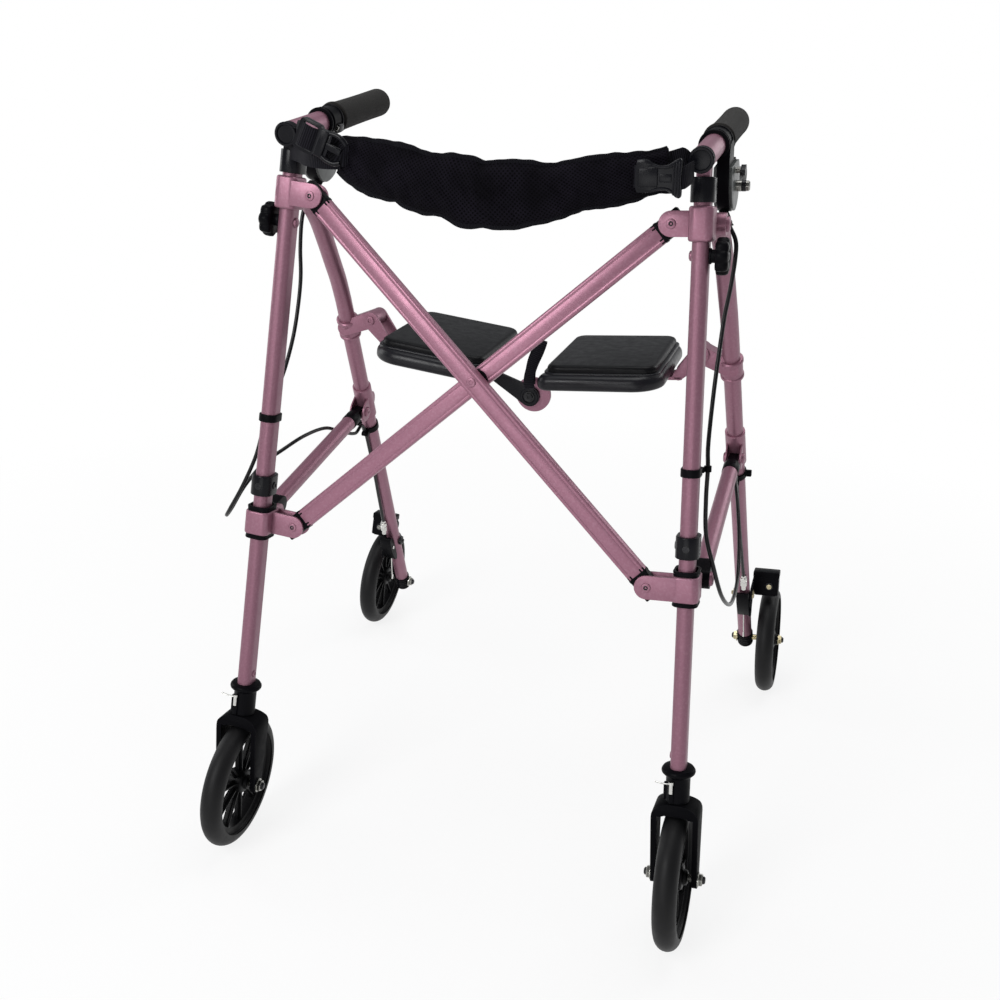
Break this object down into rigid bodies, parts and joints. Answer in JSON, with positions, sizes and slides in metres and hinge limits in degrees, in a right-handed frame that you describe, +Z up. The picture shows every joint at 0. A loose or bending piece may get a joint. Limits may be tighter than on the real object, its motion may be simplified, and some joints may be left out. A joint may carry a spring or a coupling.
{
  "type": "rollator",
  "caption": "Side-folding wheeled walking frame with height-adjustable T handles, crossed bars, split fold-up seat, sling backrest, swivelling front wheels and cable brakes.",
  "frame": {"origin": "centre of the footprint of the whole object, on the floor", "axes": "+Z up, the front of the frame faces -Y, the side of the user's left hand is +X"},
  "size_m": [0.6548, 0.7203, 0.8275],
  "materials": {
    "pink_aluminium": "satin anodised pink",
    "black_plastic": "satin moulded",
    "seat_plastic": "semi-gloss moulded",
    "grey_plastic": "satin moulded",
    "black_metal": "powder coated black",
    "zinc_steel": "zinc plated",
    "black_tyre": "solid rubber",
    "foam_grip": "soft foam rubber",
    "black_cable": "smooth plastic jacket",
    "black_mesh": "padded mesh cloth",
    "black_webbing": "woven webbing"
  },
  "bodies": {
    "right_frame": {"front_leg_right": "pink_aluminium", "top_collar_right": "pink_aluminium", "handle_bushing_right": "black_plastic", "stop_sleeve_right": "black_plastic", "caster_collar_right": "black_plastic", "brake_cable_right": "black_cable"},
    "left_frame": {"front_leg_left": "pink_aluminium", "top_collar_left": "pink_aluminium", "handle_bushing_left": "black_plastic", "stop_sleeve_left": "black_plastic", "caster_collar_left": "black_plastic", "brake_cable_left": "black_cable"},
    "cross_right": {"cross_bar_right": "pink_aluminium", "cross_bar_rivet": "black_plastic"},
    "cross_left": {"cross_bar_left": "pink_aluminium"},
    "slide_right": {"slide_collar_right": "pink_aluminium"},
    "link_right": {"side_link_right": "pink_aluminium"},
    "rear_leg_right": {"rear_leg_right": "pink_aluminium", "rear_axle_right": "zinc_steel"},
    "rear_wheel_right": {"rear_wheel_right": "black_plastic", "rear_tyre_right": "black_tyre"},
    "brake_arm_right": {"brake_arm_right": "black_plastic"},
    "handle_right": {"handle_tube_right": "pink_aluminium", "handle_cap_right": "black_plastic", "grip_right": "foam_grip", "brake_housing_right": "grey_plastic", "backrest_strap_right": "black_webbing", "backrest_pad": "black_mesh"},
    "lever_right": {"brake_lever_right": "black_plastic"},
    "knob_right": {"height_knob_right": "black_plastic"},
    "caster_right": {"caster_fork_right": "black_metal", "caster_axle_right": "zinc_steel"},
    "caster_wheel_right": {"caster_wheel_right": "black_plastic", "caster_tyre_right": "black_tyre"},
    "seat_right": {"seat_base_right": "seat_plastic", "seat_pad_right": "seat_plastic", "seat_arm_right": "pink_aluminium"},
    "slide_left": {"slide_collar_left": "pink_aluminium"},
    "link_left": {"side_link_left": "pink_aluminium"},
    "rear_leg_left": {"rear_leg_left": "pink_aluminium", "rear_axle_left": "zinc_steel"},
    "rear_wheel_left": {"rear_wheel_left": "black_plastic", "rear_tyre_left": "black_tyre"},
    "brake_arm_left": {"brake_arm_left": "black_plastic"},
    "handle_left": {"handle_tube_left": "pink_aluminium", "handle_cap_left": "black_plastic", "grip_left": "foam_grip", "brake_housing_left": "grey_plastic", "backrest_strap_left": "black_webbing"},
    "lever_left": {"brake_lever_left": "black_plastic"},
    "knob_left": {"height_knob_left": "black_plastic"},
    "caster_left": {"caster_fork_left": "black_metal", "caster_axle_left": "zinc_steel"},
    "caster_wheel_left": {"caster_wheel_left": "black_plastic", "caster_tyre_left": "black_tyre"},
    "seat_left": {"seat_base_left": "seat_plastic", "seat_pad_left": "seat_plastic", "seat_arm_left": "pink_aluminium"},
    "seat_hinge": {"seat_hinge_plate": "pink_aluminium", "seat_hinge_link": "black_plastic"}
  },
  "joints": [
    {"name": "fold", "type": "hinge", "parent": "right_frame", "child": "cross_right", "pos_m": [-0.17918, -0.20146, 0.73448], "axis": [0, 0.9903, -0.1392], "range_deg": [0, 34.34], "deforming": ["backrest_pad", "backrest_strap_left", "backrest_strap_right", "brake_cable_left", "brake_cable_right"]},
    {"name": "cross_pivot", "type": "hinge", "parent": "cross_right", "child": "cross_left", "pos_m": [0, -0.21784, 0.56805], "axis": [0, 0.9903, -0.1392], "range_deg": [-64.01, 0]},
    {"name": "cross_left_pivot", "type": "hinge", "parent": "cross_left", "child": "left_frame", "pos_m": [0.17918, -0.18611, 0.73232], "axis": [0, 0.9903, -0.1392], "range_deg": [0, 34.35]},
    {"name": "slide_right_pivot", "type": "hinge", "parent": "cross_left", "child": "slide_right", "pos_m": [-0.19454, -0.23462, 0.38721], "axis": [0, 0.9903, -0.1392], "range_deg": [0, 29.67]},
    {"name": "slide_left_pivot", "type": "hinge", "parent": "cross_right", "child": "slide_left", "pos_m": [0.19454, -0.24996, 0.38937], "axis": [0, 0.9903, -0.1392], "range_deg": [-29.67, 0]},
    {"name": "rear_leg_pivot_right", "type": "hinge", "parent": "right_frame", "child": "rear_leg_right", "pos_m": [-0.20858, -0.16162, 0.73098], "axis": [0.9972, 0.0134, -0.0729], "range_deg": [-10.96, 0]},
    {"name": "link_pivot_right", "type": "hinge", "parent": "slide_right", "child": "link_right", "pos_m": [-0.23314, -0.20904, 0.38637], "axis": [0.9972, 0.0134, -0.0729], "range_deg": [0, 24.99]},
    {"name": "seat_pivot_right", "type": "hinge", "parent": "rear_leg_right", "child": "seat_right", "pos_m": [-0.1975, -0.0003, 0.5665], "axis": [0, -1, 0], "range_deg": [0, 92.72]},
    {"name": "rear_leg_pivot_left", "type": "hinge", "parent": "left_frame", "child": "rear_leg_left", "pos_m": [0.20858, -0.16162, 0.73098], "axis": [0.9972, -0.0134, 0.0729], "range_deg": [-10.96, 0]},
    {"name": "link_pivot_left", "type": "hinge", "parent": "slide_left", "child": "link_left", "pos_m": [0.23314, -0.20904, 0.38637], "axis": [0.9972, -0.0134, 0.0729], "range_deg": [0, 24.99]},
    {"name": "seat_pivot_left", "type": "hinge", "parent": "rear_leg_left", "child": "seat_left", "pos_m": [0.1975, -0.0003, 0.5665], "axis": [0, 1, 0], "range_deg": [0, 92.72]},
    {"name": "seat_link_pivot", "type": "hinge", "parent": "seat_right", "child": "seat_hinge", "pos_m": [-0.03598, -0.0563, 0.53286], "axis": [0, -1, 0], "range_deg": [-147.65, 0]},
    {"name": "handle_height", "type": "slide", "parent": "right_frame", "child": "handle_right", "axis": [0.0704, 0.1388, 0.9878], "range_m": [0, 0.13]},
    {"name": "handle_height_left", "type": "slide", "parent": "left_frame", "child": "handle_left", "axis": [-0.0704, 0.1388, 0.9878], "range_m": [0, 0.1301]},
    {"name": "knob_turn_right", "type": "hinge", "parent": "right_frame", "child": "knob_right", "pos_m": [-0.20985, -0.19833, 0.70687], "axis": [0.9972, 0.0134, -0.0729], "range_deg": [0, 360]},
    {"name": "brake_lever_right", "type": "hinge", "parent": "handle_right", "child": "lever_right", "pos_m": [-0.20668, -0.09159, 0.76979], "axis": [0.9972, 0.0134, -0.0729], "range_deg": [0, 11], "stiffness_Nm_per_rad": 0.5, "springref_deg": -11.46},
    {"name": "brake_arm_right", "type": "hinge", "parent": "rear_leg_right", "child": "brake_arm_right", "pos_m": [-0.25489, 0.22782, 0.16894], "axis": [0.9972, 0.0134, -0.0729], "range_deg": [-2.76, 0]},
    {"name": "swivel_right", "type": "hinge", "parent": "right_frame", "child": "caster_right", "pos_m": [-0.24851, -0.27461, 0.16406], "axis": [0.0704, 0.1388, 0.9878], "continuous": true},
    {"name": "caster_roll_right", "type": "hinge", "parent": "caster_right", "child": "caster_wheel_right", "pos_m": [-0.25482, -0.28396, 0.07603], "axis": [0.9972, 0.0134, -0.0729], "continuous": true},
    {"name": "rear_roll_right", "type": "hinge", "parent": "rear_leg_right", "child": "rear_wheel_right", "pos_m": [-0.30485, 0.28403, 0.07603], "axis": [0.9972, 0.0134, -0.0729], "continuous": true},
    {"name": "knob_turn_left", "type": "hinge", "parent": "left_frame", "child": "knob_left", "pos_m": [0.20985, -0.19833, 0.70687], "axis": [0.9972, -0.0134, 0.0729], "range_deg": [0, 360]},
    {"name": "brake_lever_left", "type": "hinge", "parent": "handle_left", "child": "lever_left", "pos_m": [0.20668, -0.09159, 0.76979], "axis": [0.9972, -0.0134, 0.0729], "range_deg": [0, 11], "stiffness_Nm_per_rad": 0.5, "springref_deg": -11.46},
    {"name": "brake_arm_left", "type": "hinge", "parent": "rear_leg_left", "child": "brake_arm_left", "pos_m": [0.25489, 0.22782, 0.16894], "axis": [0.9972, -0.0134, 0.0729], "range_deg": [-2.76, 0]},
    {"name": "swivel_left", "type": "hinge", "parent": "left_frame", "child": "caster_left", "pos_m": [0.24851, -0.27461, 0.16406], "axis": [-0.0704, 0.1388, 0.9878], "continuous": true},
    {"name": "caster_roll_left", "type": "hinge", "parent": "caster_left", "child": "caster_wheel_left", "pos_m": [0.25482, -0.28396, 0.07603], "axis": [0.9972, -0.0134, 0.0729], "continuous": true},
    {"name": "rear_roll_left", "type": "hinge", "parent": "rear_leg_left", "child": "rear_wheel_left", "pos_m": [0.30485, 0.28403, 0.07603], "axis": [0.9972, -0.0134, 0.0729], "continuous": true}
  ],
  "couplings": [
    {"joint": "cross_pivot", "follows": "fold", "ratio": -1.8639},
    {"joint": "cross_left_pivot", "follows": "fold", "ratio": 1},
    {"joint": "slide_right_pivot", "follows": "fold", "ratio": 0.8639},
    {"joint": "slide_left_pivot", "follows": "fold", "ratio": -0.8639},
    {"joint": "rear_leg_pivot_right", "follows": "fold", "ratio": -0.3189},
    {"joint": "link_pivot_right", "follows": "fold", "ratio": 0.7276},
    {"joint": "seat_pivot_right", "follows": "fold", "ratio": 2.7},
    {"joint": "rear_leg_pivot_left", "follows": "fold", "ratio": -0.3189},
    {"joint": "link_pivot_left", "follows": "fold", "ratio": 0.7276},
    {"joint": "seat_pivot_left", "follows": "fold", "ratio": 2.7},
    {"joint": "seat_link_pivot", "follows": "fold", "ratio": -4.3},
    {"joint": "handle_height_left", "follows": "handle_height", "ratio": 1},
    {"joint": "brake_arm_right", "follows": "brake_lever_right", "ratio": -0.25},
    {"joint": "brake_arm_left", "follows": "brake_lever_left", "ratio": -0.25}
  ]
}
